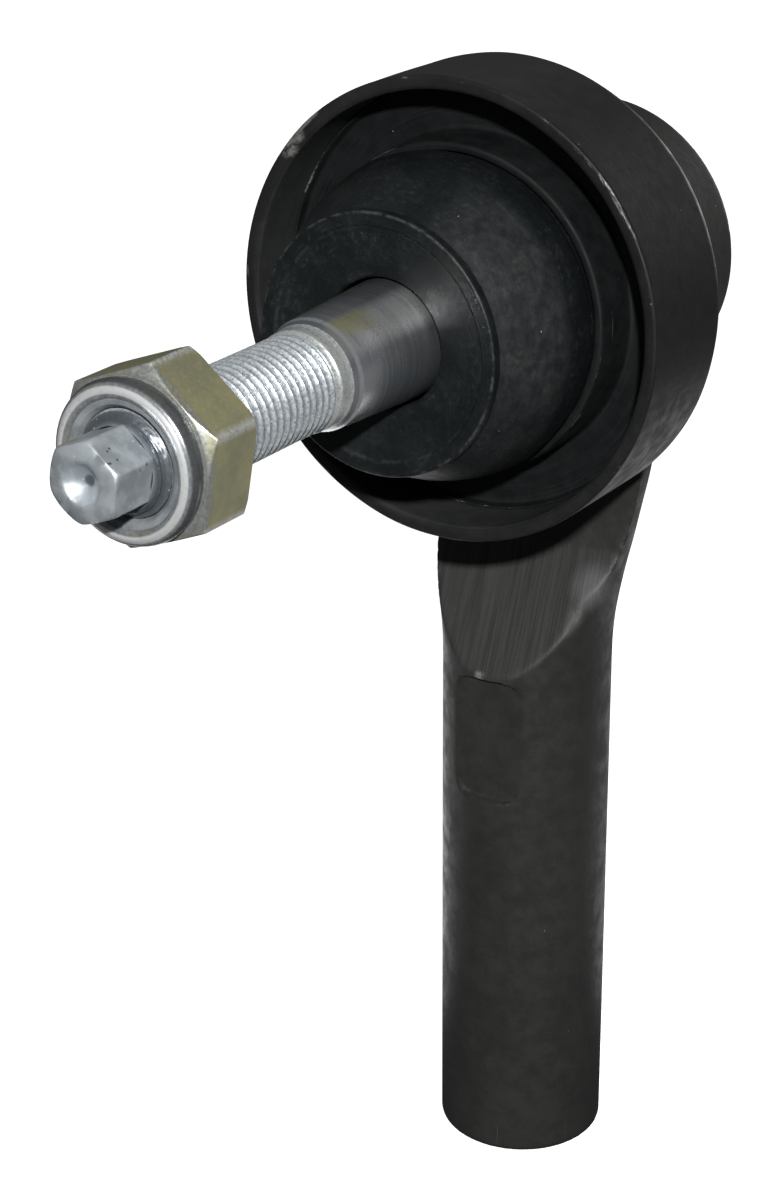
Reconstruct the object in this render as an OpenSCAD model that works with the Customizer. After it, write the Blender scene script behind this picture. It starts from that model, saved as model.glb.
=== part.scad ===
// Outer tie rod end with a sealed ball joint, a dust shield and a locking nut on the stud.
// Frame: the origin is the centre of the stem's threaded mouth, +Z runs up the stem to the
// ball centre, and the stud leaves the ball along -Y. All sizes are in millimetres.

/* [Housing] */
// Height of the ball centre above the mouth of the stem
ball_h = 150.5; // [140:0.5:165]
// Outer diameter of the round stem
stem_d = 27.4; // [26:0.1:29]
// Minor diameter of the female thread in the stem, M18 x 1.5
stem_bore_d = 16.4; // [14:0.1:18]
// Depth of the full thread in the stem
stem_bore_depth = 60; // [45:1:70]
// Outer diameter of the round socket body
body_d = 46.7; // [45:0.1:48]
// Distance of the body's back face behind the ball centre
body_back = 22; // [21.8:0.1:23]
// Diameter of the spigot that carries the shield and the boot
spigot_d = 40; // [39.6:0.1:41]
// Distance across the two ground flats on the stem
flat_af = 24.4; // [23.5:0.1:25.5]

/* [Dust shield] */
// Outer diameter of the dust shield
shield_d = 69.2; // [66:0.1:72]
// Distance of the shield's rim in front of the ball centre
shield_front = 27.3; // [26:0.1:29]
// Distance of the shield's floor in front of the ball centre
shield_back = 6; // [5.8:0.1:6.2]
// Wall thickness of the shield
shield_wall = 2.2; // [1.8:0.1:2.3]

/* [Ball stud] */
// Diameter of the ball
ball_d = 27; // [26.8:0.1:27.2]
// Diameter of the stud's neck, next to the ball
neck_d = 13.2; // [12:0.1:13.4]
// Diameter at the small end of the 1:10 seating taper
taper_small_d = 15.88; // [15.6:0.01:16]
// Distance of the taper's small end from the ball centre
taper_end = 60.7; // [58:0.1:61]
// Nominal diameter of the M14 x 1.5 thread
thread_d = 14; // [13.8:0.1:14]
// Distance where the thread starts, next to the taper
thread_from = 65; // [64:0.1:66]
// Distance where the thread ends, next to the hexagon drive
thread_to = 103; // [102:0.1:104]
// Size across the flats of the hexagon drive on the tip
drive_af = 10; // [9:0.1:10.2]
// Overall reach of the stud from the ball centre
stud_reach = 110.7; // [109:0.1:114]

/* [Locking nut] */
// Size across the flats of the nut
nut_af = 22; // [21:0.1:24]
// Distance of the nut's clamping face from the ball centre
nut_from = 90.6; // [88:0.1:91]
// Turn of the nut's and the drive's corners about the stud
hex_turn = 20; // [0:1:59]

/* [Boot] */
// Largest diameter of the boot's outline
boot_d = 49; // [48:0.1:49.4]
// Diameter of the boot's sealing lip
boot_lip_d = 38.2; // [37:0.1:39]
// Distance of the sealing face from the ball centre
boot_front = 45.2; // [44.6:0.1:46]
// Thickness of the boot's wall
boot_wall = 2.2; // [1.8:0.1:2.4]
// Outer diameter of the retainer's collar, which stands around the boot
retainer_d = 49.6; // [49.2:0.1:51]

/* [Hidden] */
$fn = 96;
eps = 0.01;

// Socket interior, as radii and distances from the ball centre
ball_r = ball_d / 2;
bearing_gap = 0.05;
bearing_bore_r = 16.8;
bearing_front = 7.3;
bearing_back = 14.6;
shoulder = 7.4;
mouth_slope = 0.4706;
mouth_base_r = 7.9;
spigot_front = 16;
bead_groove_r = 18;
bead_groove_from = 10.5;
bead_groove_to = 14.5;
spigot_lip_r = 19.4;

// Cover at the back of the socket
plate_t = 1.4;
spring_h = 1.3;
cover_in = bearing_back + plate_t + spring_h;
cover_t = 2.7;
cover_out = cover_in + cover_t;
cover_bore_r = 19.4;
cover_r = 19.3;
seal_groove_r = 17.8;
seal_groove_from = cover_in + 0.6;
seal_groove_w = 1.65;
seal_cord_r = 0.78;
snap_from = cover_out + 0.1;
snap_t = 1.1;
snap_r = 20.5;
snap_inner_r = 17.6;
snap_gap_w = 9;
snap_eye_r = 0.9;
boss_r = 6;
boss_h = 1.5;
boss_out = cover_out + boss_h;

// Grease fitting on the cover
fitting_thread_r = 2.6;
fitting_af = 8;
fitting_hex_h = 3.5;
fitting_hex_to = boss_out + fitting_hex_h;
fitting_neck_r = 2.1;
fitting_head_r = 3.2;
fitting_tip = fitting_hex_to + 6.2;
check_bore_r = 1.6;
check_ball_r = 1.5;
check_ball_y = fitting_tip - 3.2;
check_seat_y = check_ball_y + check_ball_r + 0.1;
check_hole_r = 0.8;
check_spring_y = boss_out + 0.5;
check_feed_r = 1;

// Housing outside
stem_r = stem_d / 2;
body_r = body_d / 2;
spigot_r = spigot_d / 2;
edge = 1.2;
mouth_chamfer = 0.8;
neck_z0 = 91;
neck_z1 = ball_h - 32.5;
neck_z2 = ball_h - 8.5;
neck_r1 = 18.6;
neck_r2 = 21.7;
neck_back = 17;
flat_z0 = 70;
flat_z1 = 90;
flat_runout = 5;
facet_z0 = 87.5;
facet_rise = 1.52;
facet_top_y = -2.5;
facet_z1 = facet_z0 + (stem_r + facet_top_y) * facet_rise;
drill_cone_h = 4.7;

// Stud
thread_r = thread_d / 2;
thread_chamfer = 1;
taper_slope = 0.05;
taper_small_r = taper_small_d / 2;
taper_start = 35;
taper_big_r = taper_small_r + (taper_end - taper_start) * taper_slope;
flare_start = 30;
taper_chamfer_h = 1.3;
shank_r = thread_r + 0.2;
dimple_r = 2.75;
dimple_h = 1.8;
drive_corner_r = drive_af / sqrt(3);
drive_nose_r = 3.4;
drive_nose_h = 1.5;
drive_nose_s = stud_reach - drive_nose_h;

// Nut
nut_corner_r = nut_af / sqrt(3);
nut_bore_r = thread_r + bearing_gap;
nut_hex_to = nut_from + 9.5;
collar_r = 10.8;
collar_to = nut_from + 12.5;
insert_from = nut_from + 9.8;
insert_t = 2;
insert_groove_r = 8.9;
insert_gap = 0.05;
collar_lip_r = 8.2;
nut_chamfer_h = 1.15;

// Boot
boot_r = boot_d / 2;
boot_lip_r = boot_lip_d / 2;
boot_arc_r = 33.6;
boot_arc_s = 23.5;
boot_arc_c = boot_r - boot_arc_r;
boot_bore_r = 9.35;
boot_end_from = 39.8;
boot_lip_from = boot_front - 2.2;
boot_neck_s = boot_lip_from - 0.4;
face_ring_r = 16.8;
face_recess = 1.7;
boot_root_s = 28.5;
collar_out_r = retainer_d / 2;
retainer_r = shield_d / 2 - shield_wall - 0.05;
retainer_t = 1.5;
retainer_from = shield_back + shield_wall;
retainer_floor = 16.3;
retainer_fillet = 1.5;
retainer_front = 24.5;
bead_r = 18.3;
bead_gap = 0.3;
boot_foot_out = [
    [20.6, 10.8], [20.8, 12.5], [20.6, 14.2], [21.7, 16.2], [22.5, 18.5], [22.9, 21.5],
    [22.95, 24.8], [23.5, 26.2], [24, 27.4]
];
boot_foot_in = [[21.4, 26], [20.9, 23.5], [20.6, 20], [19.9, 17.2], [19.9, 14.2]];
bead_wire_r = 0.8;
bead_wire_c = 21.8;
bead_s = (bead_groove_from + bead_groove_to) / 2;
top_ring_r = [11.2, 12.6];
top_ring_s = [40.3, 42];

// Points on an arc about [cx, cy], from angle a0 to angle a1
function arc(cx, cy, r, a0, a1, n) =
    [for (i = [0 : n]) let (a = a0 + (a1 - a0) * i / n) [cx + r * cos(a), cy + r * sin(a)]];

// Angle of the boot's outer arc at distance s, for an arc of radius r
function boot_angle(s, r) = asin((s - boot_arc_s) / r);

// Local +Z becomes the stud's direction, with its zero at the ball centre
module along_stud() {
    translate([0, 0, ball_h]) rotate([90, 0, 0]) children();
}

// Local +Z becomes the direction towards the cover
module along_cover() {
    translate([0, 0, ball_h]) rotate([-90, 0, 0]) children();
}

module disc(r, from, to) {
    translate([0, 0, from]) cylinder(r = r, h = to - from);
}

module cone(r1, r2, from, to) {
    translate([0, 0, from]) cylinder(r1 = r1, r2 = r2, h = to - from);
}

// A solid turned from an outline of [radius, distance] points
module turned(points) {
    rotate_extrude() polygon(points);
}

module hex_prism(corner_r, from, to) {
    translate([0, 0, from]) rotate([0, 0, hex_turn]) cylinder(r = corner_r, h = to - from, $fn = 6);
}

// Round stem with its flared neck, up to the socket body
module stem_and_neck() {
    intersection() {
        turned([
            [0, 0], [stem_r - edge, 0], [stem_r, edge], [stem_r, neck_z0],
            [neck_r1, neck_z1], [neck_r2, neck_z2], [0, neck_z2]
        ]);
        translate([-body_r, -body_r, -1]) cube([body_d, body_r + neck_back, ball_h]);
    }
}

// A solid of one outline in Y and Z, as wide as the body
module across_stem(points) {
    translate([-body_r, 0, 0]) rotate([90, 0, 90]) linear_extrude(body_d) polygon(points);
}

// Leaning facet and upright face that give the dust shield room
module shield_relief() {
    across_stem([
        [-stem_r - edge, facet_z0 - edge * facet_rise], [facet_top_y, facet_z1],
        [facet_top_y, ball_h], [-body_r, ball_h], [-body_r, facet_z0 - edge * facet_rise]
    ]);
}

// Two ground flats that run out towards the mouth
module ground_flats() {
    runout_y = stem_r - flat_af / 2 + edge;
    for (turn = [0, 180])
        rotate([0, 0, turn])
            across_stem([
                [flat_af / 2, flat_z0], [flat_af / 2 + runout_y, flat_z0 - flat_runout],
                [flat_af / 2 + runout_y, flat_z1], [flat_af / 2, flat_z1]
            ]);
}

module socket_outside() {
    turned([
        [0, -body_back], [body_r - edge, -body_back], [body_r, -body_back + edge],
        [body_r, shield_back], [spigot_r, shield_back], [spigot_r, bead_groove_from],
        [bead_groove_r, bead_groove_from], [bead_groove_r, bead_groove_to],
        [spigot_lip_r, bead_groove_to], [spigot_lip_r, spigot_front - 0.5],
        [spigot_lip_r - 0.5, spigot_front], [0, spigot_front]
    ]);
}

module socket_inside() {
    disc(cover_bore_r, -body_back - eps, -cover_in);
    disc(snap_r + 0.1, -snap_from - snap_t - 0.05, -snap_from + 0.05);
    disc(bearing_bore_r, -cover_in - eps, shoulder);
    cone(mouth_base_r + mouth_slope * shoulder, mouth_base_r + mouth_slope * (spigot_front + 1),
        shoulder - eps, spigot_front + 1);
}

module stem_bore() {
    disc(stem_bore_d / 2, -eps, stem_bore_depth);
    cone(stem_bore_d / 2 + mouth_chamfer + eps, stem_bore_d / 2, -eps, mouth_chamfer);
    cone(stem_bore_d / 2, 0, stem_bore_depth, stem_bore_depth + drill_cone_h);
}

module housing() {
    color("#1d1d1c")
        difference() {
            union() {
                difference() {
                    stem_and_neck();
                    shield_relief();
                    ground_flats();
                }
                along_stud() socket_outside();
            }
            along_stud() socket_inside();
            stem_bore();
        }
}

module dust_shield() {
    r = shield_d / 2;
    color("#232322")
        along_stud()
            turned(concat(
                [[spigot_r, shield_back]],
                arc(r - 1.6, shield_back + 1.6, 1.6, -90, 0, 4),
                [[r, shield_front - 0.6], [r - 0.6, shield_front], [r - shield_wall + 0.5, shield_front],
                 [r - shield_wall, shield_front - 0.5], [r - shield_wall, shield_back + shield_wall],
                 [spigot_r, shield_back + shield_wall]]
            ));
}

// Ring with a flat floor, a fillet up to the shield's wall and a collar around the boot
module boot_retainer() {
    inner_r = collar_out_r - retainer_t;
    fillet_r = retainer_r - retainer_fillet;
    color("#262625")
        along_stud()
            turned(concat(
                [[retainer_r - retainer_t, retainer_from], [retainer_r, retainer_from],
                 [retainer_r, retainer_floor + retainer_fillet]],
                arc(fillet_r, retainer_floor + retainer_fillet, retainer_fillet, -15, -75, 3),
                [[fillet_r, retainer_floor], [collar_out_r + 0.4, retainer_floor],
                 [collar_out_r, retainer_floor + 0.4], [collar_out_r, retainer_front - 0.5],
                 [collar_out_r - 0.5, retainer_front], [inner_r + 0.4, retainer_front],
                 [inner_r, retainer_front - 0.4], [inner_r, retainer_floor - retainer_t],
                 [retainer_r - retainer_t, retainer_floor - retainer_t]]
            ));
}

module dust_boot() {
    inner_r = boot_arc_r - boot_wall;
    color("#1a1b1b")
        along_stud()
            turned(concat(
                [[bead_r, bead_groove_from + bead_gap]],
                boot_foot_out,
                arc(boot_arc_c, boot_arc_s, boot_arc_r, boot_angle(boot_root_s, boot_arc_r),
                    boot_angle(boot_neck_s, boot_arc_r), 10),
                [[boot_lip_r, boot_lip_from], [boot_lip_r, boot_front - 0.5], [boot_lip_r - 0.5, boot_front],
                 [face_ring_r, boot_front], [face_ring_r - 0.6, boot_front - face_recess],
                 [boot_bore_r + 3, boot_front - face_recess - 0.2],
                 [boot_bore_r, boot_front - face_recess - 1],
                 [boot_bore_r, boot_end_from], [top_ring_r[0] - 0.1, boot_end_from],
                 [top_ring_r[0] - 0.1, top_ring_s[1] + 0.1], [top_ring_r[1] + 0.1, top_ring_s[1] + 0.1],
                 [top_ring_r[1] + 0.1, boot_end_from]],
                arc(boot_arc_c, boot_arc_s, inner_r, boot_angle(boot_end_from, inner_r),
                    boot_angle(boot_root_s, inner_r), 8),
                boot_foot_in,
                [[bead_r, bead_groove_to - bead_gap]]
            ));
}

module boot_base_ring() {
    color("#8f9295")
        along_stud()
            rotate_extrude() translate([bead_wire_c, bead_s]) circle(bead_wire_r);
}

module boot_top_ring() {
    color("#8f9295")
        along_stud()
            difference() {
                disc(top_ring_r[1], top_ring_s[0], top_ring_s[1]);
                disc(top_ring_r[0], top_ring_s[0] - 1, top_ring_s[1] + 1);
            }
}

module ball_stud() {
    color("#9da0a2")
        along_stud()
            difference() {
                union() {
                    sphere(r = ball_r);
                    disc(neck_d / 2, 0, flare_start);
                    cone(neck_d / 2, taper_big_r, flare_start, taper_start);
                    cone(taper_big_r, taper_small_r, taper_start, taper_end);
                    cone(taper_small_r, shank_r, taper_end, taper_end + taper_chamfer_h);
                    disc(shank_r, taper_end, thread_from);
                    disc(thread_r, thread_from, thread_to - thread_chamfer);
                    cone(thread_r, thread_r - thread_chamfer, thread_to - thread_chamfer, thread_to);
                    intersection() {
                        hex_prism(drive_corner_r, thread_to - eps, stud_reach);
                        union() {
                            disc(drive_corner_r + 0.1, thread_to - 1, drive_nose_s);
                            cone(drive_corner_r + 0.1, drive_nose_r, drive_nose_s, stud_reach);
                        }
                    }
                }
                cone(0.4, dimple_r, stud_reach - dimple_h, stud_reach + eps);
            }
}

module front_bearing() {
    color("#d8d5c6")
        along_stud()
            difference() {
                disc(bearing_bore_r, 0.2, bearing_front);
                sphere(r = ball_r + bearing_gap);
            }
}

module rear_bearing() {
    color("#d8d5c6")
        along_cover()
            difference() {
                disc(bearing_bore_r, 0.2, bearing_back);
                sphere(r = ball_r + bearing_gap);
                disc(4, 0, bearing_back + 1);
            }
}

module pressure_plate() {
    color("#7e8184")
        along_cover()
            difference() {
                disc(bearing_bore_r - 0.4, bearing_back, bearing_back + plate_t);
                disc(3, bearing_back - 1, bearing_back + plate_t + 1);
            }
}

module preload_spring() {
    from = bearing_back + plate_t;
    color("#5d6064")
        along_cover()
            turned([[7, cover_in - 0.9], [15.6, from], [15.6, from + 0.9], [7, cover_in]]);
}

module cover_plate() {
    color("#33332f")
        along_cover()
            difference() {
                turned([
                    [0, cover_in], [cover_r, cover_in], [cover_r, seal_groove_from],
                    [seal_groove_r, seal_groove_from], [seal_groove_r, seal_groove_from + seal_groove_w],
                    [cover_r, seal_groove_from + seal_groove_w], [cover_r, cover_out],
                    [boss_r + 1, cover_out], [boss_r, boss_out], [0, boss_out]
                ]);
                disc(fitting_thread_r, cover_in - 1, boss_out + 1);
            }
}

module cover_seal() {
    color("#161616")
        along_cover()
            rotate_extrude()
                translate([cover_bore_r - seal_cord_r - 0.02, seal_groove_from + seal_groove_w / 2])
                    circle(seal_cord_r);
}

// Internal retaining ring with an eye for pliers at each end
module cover_snap_ring() {
    eye_c = (snap_r + snap_inner_r) / 2 - 0.6;
    eye_turn = asin((snap_gap_w / 2 + 2) / eye_c);
    color("#4a4c4e")
        along_cover()
            difference() {
                disc(snap_r, snap_from, snap_from + snap_t);
                disc(snap_inner_r, snap_from - 1, snap_from + snap_t + 1);
                translate([-snap_gap_w / 2, 0, snap_from - 1]) cube([snap_gap_w, snap_r + 1, snap_t + 2]);
                for (side = [-1, 1])
                    rotate([0, 0, side * eye_turn])
                        translate([0, eye_c, snap_from - 1]) cylinder(r = snap_eye_r, h = snap_t + 2);
            }
}

module grease_fitting() {
    head = fitting_tip - 2.4;
    color("#b9b7a8")
        along_cover()
            difference() {
                union() {
                    disc(fitting_thread_r, cover_in, boss_out + eps);
                    hex_prism(fitting_af / sqrt(3), boss_out, fitting_hex_to);
                    turned([
                        [0, fitting_hex_to - eps], [3, fitting_hex_to - eps],
                        [fitting_neck_r, fitting_hex_to + 1.4], [fitting_neck_r, head - 1.4],
                        [fitting_head_r, head], [fitting_head_r, head + 0.6],
                        [1.5, fitting_tip], [0, fitting_tip]
                    ]);
                }
                disc(check_bore_r, check_spring_y, check_seat_y);
                disc(check_hole_r, check_seat_y - 1, fitting_tip + 1);
                disc(check_feed_r, cover_in - 1, check_spring_y + 1);
            }
}

module fitting_check_ball() {
    color("#c4c6c8")
        translate([0, check_ball_y, ball_h]) sphere(r = check_ball_r);
}

module fitting_spring() {
    to = check_ball_y - check_ball_r;
    color("#8f9295")
        along_cover()
            difference() {
                disc(check_bore_r - 0.2, check_spring_y, to);
                disc(check_bore_r - 0.6, check_spring_y - 1, to + 1);
            }
}

module lock_nut() {
    color("#a9a68c")
        along_stud()
            difference() {
                union() {
                    intersection() {
                        hex_prism(nut_corner_r, nut_from, nut_hex_to);
                        union() {
                            cone(nut_corner_r - 0.7, nut_corner_r + 0.1, nut_from, nut_from + 0.45);
                            disc(nut_corner_r + 0.1, nut_from + 0.45, nut_hex_to - nut_chamfer_h);
                            cone(nut_corner_r + 0.1, collar_r, nut_hex_to - nut_chamfer_h, nut_hex_to);
                        }
                    }
                    turned(concat(
                        [[0, nut_hex_to - 1], [collar_r, nut_hex_to - 1]],
                        arc(collar_r - 1.4, collar_to - 1.4, 1.4, 0, 90, 5),
                        [[collar_lip_r + 0.5, collar_to], [collar_lip_r, collar_to - 0.5],
                         [0, collar_to - 0.5]]
                    ));
                }
                disc(nut_bore_r, nut_from - 1, insert_from + eps);
                cone(nut_bore_r + 0.7, nut_bore_r, nut_from - eps, nut_from + 0.7);
                disc(insert_groove_r, insert_from, insert_from + insert_t + 2 * insert_gap);
                disc(collar_lip_r, insert_from + insert_t, collar_to + 1);
            }
}

module nut_locking_insert() {
    from = insert_from + insert_gap;
    color("#6f7478")
        along_stud()
            difference() {
                disc(insert_groove_r - insert_gap, from, from + insert_t);
                disc(nut_bore_r, from - 1, from + insert_t + 1);
            }
}

housing();
dust_shield();
boot_retainer();
dust_boot();
boot_base_ring();
boot_top_ring();
ball_stud();
front_bearing();
rear_bearing();
pressure_plate();
preload_spring();
cover_plate();
cover_seal();
cover_snap_ring();
grease_fitting();
fitting_check_ball();
fitting_spring();
lock_nut();
nut_locking_insert();
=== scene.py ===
from math import acos, asin, cos, pi, radians, sin, sqrt, tan

import bmesh
import bpy
import numpy as np
from mathutils import Matrix, Vector


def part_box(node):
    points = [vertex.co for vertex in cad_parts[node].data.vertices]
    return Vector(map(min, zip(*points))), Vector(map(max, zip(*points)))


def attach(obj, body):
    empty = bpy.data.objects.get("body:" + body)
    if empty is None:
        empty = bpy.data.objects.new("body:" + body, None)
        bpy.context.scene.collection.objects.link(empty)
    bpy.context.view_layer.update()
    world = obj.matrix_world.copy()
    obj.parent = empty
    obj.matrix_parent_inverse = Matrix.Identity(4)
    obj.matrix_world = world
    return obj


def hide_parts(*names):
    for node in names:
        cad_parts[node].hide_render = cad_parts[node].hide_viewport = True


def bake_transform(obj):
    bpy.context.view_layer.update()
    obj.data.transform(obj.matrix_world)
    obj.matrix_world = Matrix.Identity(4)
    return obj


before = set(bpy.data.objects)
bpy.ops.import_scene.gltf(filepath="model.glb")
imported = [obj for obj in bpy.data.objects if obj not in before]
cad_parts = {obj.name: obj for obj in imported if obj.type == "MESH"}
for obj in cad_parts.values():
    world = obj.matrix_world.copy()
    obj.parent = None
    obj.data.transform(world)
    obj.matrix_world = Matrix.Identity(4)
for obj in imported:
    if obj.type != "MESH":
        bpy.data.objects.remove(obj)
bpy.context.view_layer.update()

MM = 0.001


def box_mm(node):
    low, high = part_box(node)
    return np.array(low) / MM, np.array(high) / MM


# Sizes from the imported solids
shield_lo, shield_hi = box_mm("dust_shield")
body_lo, body_hi = box_mm("housing")
keep_lo, keep_hi = box_mm("boot_retainer")
cover_lo, cover_hi = box_mm("cover_plate")
fitting_lo, fitting_hi = box_mm("grease_fitting")
BALL_Z = (shield_lo[2] + shield_hi[2]) / 2
SHIELD_R = (shield_hi[0] - shield_lo[0]) / 2
SHIELD_S = -shield_lo[1]
TIP_S = -box_mm("ball_stud")[0][1]
BODY_R = (body_hi[0] - body_lo[0]) / 2
BODY_Y = body_hi[1]
BOOT_S = -box_mm("dust_boot")[0][1]
NUT_S0 = -box_mm("lock_nut")[1][1]
KEEP_R = (keep_hi[0] - keep_lo[0]) / 2
KEEP_S = -keep_lo[1]
COLLAR_R = 24.8  # outside of the retainer's collar
STEM_R = 13.7
BALL_R = 13.5
PITCH = 1.5  # of both threads
BORE_R, THREAD_R = 8.2, 7.0  # minor radius of the stem's thread, major radius of the stud's
NUT_AF, DRIVE_AF, NIPPLE_AF = 22.0, 10.0, 8.0
HEX_TURN = 20.0  # turn of the hexagons about the stud, in degrees
GROUND_END = 61.7  # where the ground taper ends and the zinc plate starts
FACET_LEAN = 1.52  # rise of the facet below the shield for each mm along Y
SPLIT_S = 31.0  # mould line between the boot's two pieces
BOOT_ARC_R, BOOT_WALL = 33.6, 2.2


def new_object(name, data):
    obj = bpy.data.objects.new(name, data)
    bpy.context.scene.collection.objects.link(obj)
    return obj


# --- camera
def set_camera():
    """Camera at the photograph's viewing angle, with a small roll."""
    az, el, roll = radians(32.22), radians(22.62), radians(-0.38)
    target = Vector((-26.29, 0, 90.51)) * MM
    back = Vector((sin(az) * cos(el), -cos(az) * cos(el), sin(el)))
    right = Vector((cos(az), sin(az), 0))
    up = back.cross(right)
    r2 = cos(roll) * right + sin(roll) * up
    u2 = -sin(roll) * right + cos(roll) * up
    data = bpy.data.cameras.new("view_camera")
    cam = new_object("view_camera", data)
    data.sensor_width = 36
    data.lens = 2567.7 / 1200 * 36
    data.clip_start, data.clip_end = 0.01, 20
    turn = Matrix((r2, u2, back)).transposed()
    cam.matrix_world = Matrix.Translation(target + back * 428.5 * MM) @ turn.to_4x4()
    bpy.context.scene.camera = cam


set_camera()


# --- noise for mesh detail
def lattice_noise(p, seed, cell):
    """Smooth value noise in -1..1 at points p (n x 3, mm), with the given cell size."""
    q = np.asarray(p, float) / cell + 1000.0
    i = np.floor(q).astype(np.int64)
    f = q - i
    f = f * f * (3 - 2 * f)
    total = np.zeros(len(q))
    for dx in (0, 1):
        for dy in (0, 1):
            for dz in (0, 1):
                h = (((i[:, 0] + dx) * 73856093) ^ ((i[:, 1] + dy) * 19349663)
                     ^ ((i[:, 2] + dz) * 83492791))
                h = (h ^ (seed * 2654435761)) & 0xFFFFFFFF
                h = ((h ^ (h >> 13)) * 1274126177) & 0xFFFFFFFF
                h = ((h ^ (h >> 16)) & 0xFFFF) / 32767.5 - 1
                w = ((f[:, 0] if dx else 1 - f[:, 0]) * (f[:, 1] if dy else 1 - f[:, 1])
                     * (f[:, 2] if dz else 1 - f[:, 2]))
                total += h * w
    return total


# --- mesh helpers
def stud_frame(r, s, a):
    """Around the stud: s runs from the ball centre along -Y, a turns from +X towards +Z."""
    return np.stack([r * np.cos(a), -s, BALL_Z + r * np.sin(a)], -1)


def stem_frame(r, z, a):
    return np.stack([r * np.cos(a), r * np.sin(a), z], -1)


def rows_of(outline, n):
    """An outline's radii and distances, each repeated n times around."""
    return np.repeat(outline[:, :1], n, 1), np.repeat(outline[:, 1:2], n, 1)


def noise_at(r, s, a, seed, cell):
    """Value noise at points around the stud, in the shape of r."""
    return lattice_noise(stud_frame(r, s, a).reshape(-1, 3), seed, cell).reshape(r.shape)


def soften(points, closed=False, steps=4, guard=0.12):
    """Rounds the corners of an outline of (radius, distance, fillet) points and adds guard points
    beside each fillet, so that smooth shading stays on the fillet."""
    pts = [np.array(p[:2], float) for p in points]
    fil = [p[2] if len(p) > 2 else 0 for p in points]
    n, out = len(pts), []
    for i in range(n):
        if not closed and i in (0, n - 1) or fil[i] <= 0:
            out.append(pts[i])
            continue
        a, b, c = pts[i - 1], pts[i], pts[(i + 1) % n]
        la, lc = np.linalg.norm(a - b), np.linalg.norm(c - b)
        da, dc = (a - b) / la, (c - b) / lc
        half = acos(max(-1, min(1, float(da @ dc)))) / 2
        if half > 1.55:
            out.append(b)
            continue
        t = min(fil[i] / tan(half), 0.46 * la, 0.46 * lc)
        p, q = b + da * t, b + dc * t
        if guard and la > 2.5 * t + 2 * guard:
            out.append(p + da * guard)
        for k in range(steps + 1):
            u = k / steps
            out.append((1 - u) ** 2 * p + 2 * u * (1 - u) * b + u * u * q)
        if guard and lc > 2.5 * t + 2 * guard:
            out.append(q + dc * guard)
    return np.array(out)


def grid_faces(rows, cols, wrap_rows=False):
    faces = []
    for i in range(rows if wrap_rows else rows - 1):
        a, b = i * cols, ((i + 1) % rows) * cols
        for j in range(cols):
            k = (j + 1) % cols
            faces.append((a + j, a + k, b + k, b + j))
    return faces


def tube_faces(rows, cols):
    """Grid faces with both ends closed."""
    last = (rows - 1) * cols
    return grid_faces(rows, cols) + [
        tuple(range(cols)), tuple(reversed(range(last, last + cols)))]


class Build:
    """Collects vertices in millimetres and faces, and makes one object of them."""

    def __init__(self):
        self.verts, self.faces, self.count = [], [], 0

    def add(self, verts, faces):
        verts = np.asarray(verts, float)
        self.verts.append(verts)
        self.faces += [tuple(v + self.count for v in f) for f in faces]
        self.count += len(verts)

    def lathe(self, points, place=stud_frame, segs=160, closed=True, shape=None):
        """Turns an outline. shape(r, s, a) may return changed radii and distances."""
        a = np.linspace(0, 2 * pi, segs, endpoint=False)
        r, s = rows_of(points, segs)
        if shape:
            r, s = shape(r, s, a)
        self.field(r, s, a, place, closed)

    def field(self, r, s, a, place=stud_frame, wrap_rows=False):
        """A closed band: one row of r and s for each ring, and the angles a around it."""
        self.add(place(r, s, a).reshape(-1, 3), grid_faces(r.shape[0], r.shape[1], wrap_rows))

    def mesh(self, name, sharp=35.0):
        me = bpy.data.meshes.new(name)
        me.from_pydata((np.concatenate(self.verts) * MM).tolist(), [], self.faces)
        clean(me, sharp, 2e-6, outward=True)
        return me

    def object(self, name, sharp=35.0):
        return new_object(name, self.mesh(name, sharp))


def clean(mesh, sharp, merge, outward=False):
    """Joins points closer than merge, and shades smooth up to sharp degrees."""
    bm = bmesh.new()
    bm.from_mesh(mesh)
    bmesh.ops.remove_doubles(bm, verts=bm.verts, dist=merge)
    bmesh.ops.dissolve_degenerate(bm, edges=bm.edges, dist=1e-6)
    if outward:
        bmesh.ops.recalc_face_normals(bm, faces=bm.faces)
    for f in bm.faces:
        f.smooth = True
    for e in bm.edges:
        e.smooth = len(e.link_faces) == 2 and e.calc_face_angle(0) < radians(sharp)
    bm.to_mesh(mesh)
    bm.free()


def settle(obj, body, slot, material, *nodes):
    """Rides obj on a body, hides the CAD nodes that it stands for, and gives its finish."""
    obj.data.materials.clear()
    obj.data.materials.append(material)
    if nodes:
        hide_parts(*nodes)
    if body:
        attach(obj, body)
    return obj


def cut(obj, cutters, sharp=35.0):
    """Boolean difference with each cutter, which is then thrown away."""
    for cutter in cutters:
        mod = obj.modifiers.new("cut", "BOOLEAN")
        mod.operation, mod.solver, mod.object = "DIFFERENCE", "MANIFOLD", cutter
        bpy.context.view_layer.update()
        graph = bpy.context.evaluated_depsgraph_get()
        mesh = bpy.data.meshes.new_from_object(obj.evaluated_get(graph), depsgraph=graph)
        obj.modifiers.clear()
        spent = obj.data, cutter.data
        obj.data = mesh
        bpy.data.objects.remove(cutter)
        for old in spent:
            bpy.data.meshes.remove(old)
    clean(obj.data, sharp, 1e-6)


# --- solid by distance field
def smin(a, b, k):
    h = np.clip(0.5 + 0.5 * (b - a) / k, 0, 1)
    return b * (1 - h) + a * h - k * h * (1 - h)


def smax(a, b, k):
    return -smin(-a, -b, k)


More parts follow.
